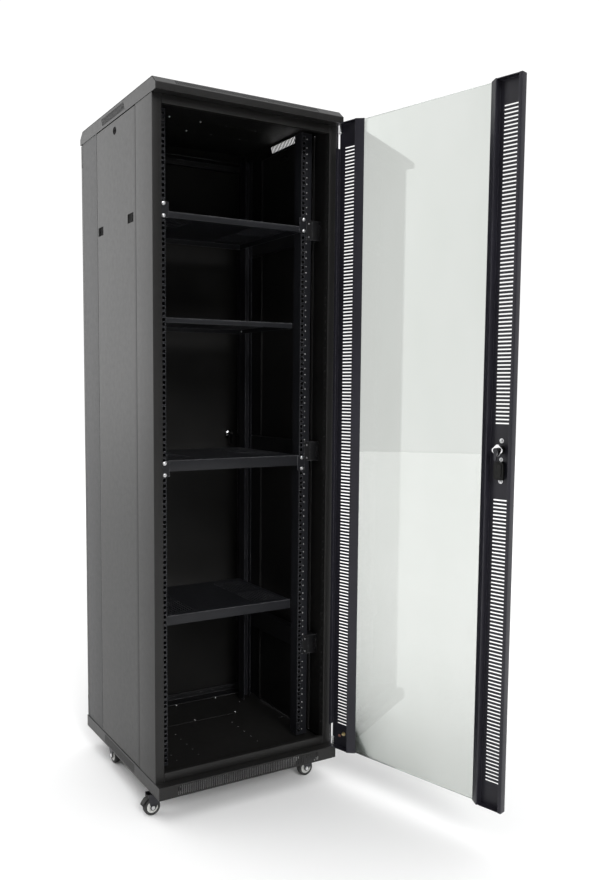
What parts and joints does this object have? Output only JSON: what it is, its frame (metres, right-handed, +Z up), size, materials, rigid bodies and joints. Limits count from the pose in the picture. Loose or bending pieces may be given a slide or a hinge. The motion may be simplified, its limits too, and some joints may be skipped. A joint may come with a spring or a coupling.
{
  "type": "server rack cabinet",
  "caption": "Floor-standing server rack cabinet on casters: steel frame with mounting rails and shelves, glazed front door, steel rear door, pull-off side panels.",
  "frame": {"origin": "on the floor under the middle of the bounding box, with the front door stored 104.8 degrees open", "axes": "+Z up, +Y from the cabinet's front to its rear, +X to the right seen from the front"},
  "size_m": [0.7832, 1.1916, 2.048],
  "materials": {
    "black_paint": "fine textured powder coat, satin",
    "rail_paint": "smooth satin paint",
    "glass": "clear toughened glass, faint green",
    "zinc": "bright zinc plate",
    "chrome": "polished",
    "brass": "satin",
    "black_plastic": "fine grain",
    "fork": "black zinc, satin",
    "wheel": "soft tread on a pale nylon hub"
  },
  "bodies": {
    "cabinet": {"base_plinth": "black_paint", "floor_gland_plate": "black_paint", "top_cover": "black_paint", "front_frame": "black_paint", "rear_frame": "black_paint", "depth_beam_lower_right": "black_paint", "depth_beam_lower_left": "black_paint", "depth_beam_middle_right": "black_paint", "depth_beam_middle_left": "black_paint", "depth_beam_upper_right": "black_paint", "depth_beam_upper_left": "black_paint", "mounting_rail_front_right": "rail_paint", "mounting_rail_front_left": "rail_paint", "mounting_rail_rear_right": "rail_paint", "mounting_rail_rear_left": "rail_paint", "shelf_1_flanged": "rail_paint", "shelf_2_fixed": "rail_paint", "shelf_3_flanged": "rail_paint", "shelf_4_fixed": "rail_paint", "caster_plate_front_left": "zinc", "caster_plate_front_right": "zinc", "caster_plate_rear_left": "zinc", "caster_plate_rear_right": "zinc"},
    "front_door": {"front_door_hinge_stile": "black_paint", "front_door_lock_stile": "black_paint", "front_door_glass": "glass", "front_door_pin_top": "zinc", "front_door_pin_bottom": "zinc", "front_lock_housing": "black_plastic", "front_lock_nut": "chrome", "door_earth_stud": "brass"},
    "front_lock": {"front_lock_spindle": "zinc", "front_lock_cam": "chrome"},
    "front_handle": {"front_swing_handle": "black_plastic"},
    "rear_door": {"rear_door_panel": "black_paint", "rear_door_pin_top": "zinc", "rear_door_pin_bottom": "zinc"},
    "rear_lock": {"rear_lock": "chrome"},
    "side_panel_right": {"side_panel_right": "black_paint"},
    "side_latch_right_front": {"side_latch_right_front": "black_plastic"},
    "side_latch_right_rear": {"side_latch_right_rear": "black_plastic"},
    "side_lock_right": {"side_lock_right": "zinc"},
    "side_panel_left": {"side_panel_left": "black_paint"},
    "side_latch_left_front": {"side_latch_left_front": "black_plastic"},
    "side_latch_left_rear": {"side_latch_left_rear": "black_plastic"},
    "side_lock_left": {"side_lock_left": "zinc"},
    "caster_fork_front_left": {"caster_fork_front_left": "fork"},
    "caster_wheel_front_left": {"caster_wheel_front_left": "wheel"},
    "caster_brake_front_left": {"caster_brake_front_left": "black_plastic"},
    "caster_fork_front_right": {"caster_fork_front_right": "fork"},
    "caster_wheel_front_right": {"caster_wheel_front_right": "wheel"},
    "caster_brake_front_right": {"caster_brake_front_right": "black_plastic"},
    "caster_fork_rear_left": {"caster_fork_rear_left": "fork"},
    "caster_wheel_rear_left": {"caster_wheel_rear_left": "wheel"},
    "caster_fork_rear_right": {"caster_fork_rear_right": "fork"},
    "caster_wheel_rear_right": {"caster_wheel_rear_right": "wheel"}
  },
  "joints": [
    {"name": "front_door_hinge", "type": "hinge", "parent": "cabinet", "child": "front_door", "pos_m": [0.22599, -0.01968, 1.059], "axis": [0, 0, 1], "range_deg": [-104.8, 75.2]},
    {"name": "front_lock_turn", "type": "hinge", "parent": "front_door", "child": "front_lock", "pos_m": [0.37225, -0.5525, 1.072], "axis": [-0.9668, -0.2554, 0], "range_deg": [0, 90]},
    {"name": "front_handle_lift", "type": "hinge", "parent": "front_lock", "child": "front_handle", "pos_m": [0.38482, -0.54917, 1.08], "axis": [0.2554, -0.9668, 0], "range_deg": [0, 30]},
    {"name": "rear_door_hinge", "type": "hinge", "parent": "cabinet", "child": "rear_door", "pos_m": [-0.36201, 0.58932, 1.059], "axis": [0, 0, 1], "range_deg": [0, 180]},
    {"name": "rear_lock_turn", "type": "hinge", "parent": "rear_door", "child": "rear_lock", "pos_m": [0.17199, 0.58082, 1.064], "axis": [0, -1, 0], "range_deg": [0, 90]},
    {"name": "side_panel_right_pull", "type": "slide", "parent": "cabinet", "child": "side_panel_right", "axis": [1, 0, 0], "range_m": [0, 0.15]},
    {"name": "side_latch_right_front_slide", "type": "slide", "parent": "side_panel_right", "child": "side_latch_right_front", "axis": [0, 1, 0], "range_m": [0, 0.012], "stiffness_N_per_m": 150, "springref_m": -0.01},
    {"name": "side_latch_right_rear_slide", "type": "slide", "parent": "side_panel_right", "child": "side_latch_right_rear", "axis": [0, -1, 0], "range_m": [0, 0.012], "stiffness_N_per_m": 150, "springref_m": -0.01},
    {"name": "side_lock_right_turn", "type": "hinge", "parent": "side_panel_right", "child": "side_lock_right", "pos_m": [0.22199, 0.28482, 1.979], "axis": [1, 0, 0], "range_deg": [0, 90]},
    {"name": "side_panel_left_pull", "type": "slide", "parent": "cabinet", "child": "side_panel_left", "axis": [-1, 0, 0], "range_m": [0, 0.15]},
    {"name": "side_latch_left_front_slide", "type": "slide", "parent": "side_panel_left", "child": "side_latch_left_front", "axis": [0, 1, 0], "range_m": [0, 0.012], "stiffness_N_per_m": 150, "springref_m": -0.01},
    {"name": "side_latch_left_rear_slide", "type": "slide", "parent": "side_panel_left", "child": "side_latch_left_rear", "axis": [0, -1, 0], "range_m": [0, 0.012], "stiffness_N_per_m": 150, "springref_m": -0.01},
    {"name": "side_lock_left_turn", "type": "hinge", "parent": "side_panel_left", "child": "side_lock_left", "pos_m": [-0.35801, 0.28482, 1.979], "axis": [1, 0, 0], "range_deg": [0, 90]},
    {"name": "caster_swivel_front_left", "type": "hinge", "parent": "cabinet", "child": "caster_fork_front_left", "pos_m": [-0.33101, 0.04882, 0.065], "axis": [0, 0, 1], "continuous": true},
    {"name": "caster_roll_front_left", "type": "hinge", "parent": "caster_fork_front_left", "child": "caster_wheel_front_left", "pos_m": [-0.36101, 0.04882, 0.025], "axis": [0, -1, 0], "continuous": true},
    {"name": "caster_brake_front_left_pedal", "type": "hinge", "parent": "caster_fork_front_left", "child": "caster_brake_front_left", "pos_m": [-0.37101, 0.04882, 0.0555], "axis": [0, 1, 0], "range_deg": [0, 20]},
    {"name": "caster_swivel_front_right", "type": "hinge", "parent": "cabinet", "child": "caster_fork_front_right", "pos_m": [0.19499, 0.04882, 0.065], "axis": [0, 0, 1], "continuous": true},
    {"name": "caster_roll_front_right", "type": "hinge", "parent": "caster_fork_front_right", "child": "caster_wheel_front_right", "pos_m": [0.16499, 0.04882, 0.025], "axis": [0, -1, 0], "continuous": true},
    {"name": "caster_brake_front_right_pedal", "type": "hinge", "parent": "caster_fork_front_right", "child": "caster_brake_front_right", "pos_m": [0.15499, 0.04882, 0.0555], "axis": [0, 1, 0], "range_deg": [0, 20]},
    {"name": "caster_swivel_rear_left", "type": "hinge", "parent": "cabinet", "child": "caster_fork_rear_left", "pos_m": [-0.33101, 0.45482, 0.065], "axis": [0, 0, 1], "continuous": true},
    {"name": "caster_roll_rear_left", "type": "hinge", "parent": "caster_fork_rear_left", "child": "caster_wheel_rear_left", "pos_m": [-0.33101, 0.42482, 0.025], "axis": [1, 0, 0], "continuous": true},
    {"name": "caster_swivel_rear_right", "type": "hinge", "parent": "cabinet", "child": "caster_fork_rear_right", "pos_m": [0.19499, 0.45482, 0.065], "axis": [0, 0, 1], "continuous": true},
    {"name": "caster_roll_rear_right", "type": "hinge", "parent": "caster_fork_rear_right", "child": "caster_wheel_rear_right", "pos_m": [0.19499, 0.42482, 0.025], "axis": [1, 0, 0], "continuous": true}
  ]
}
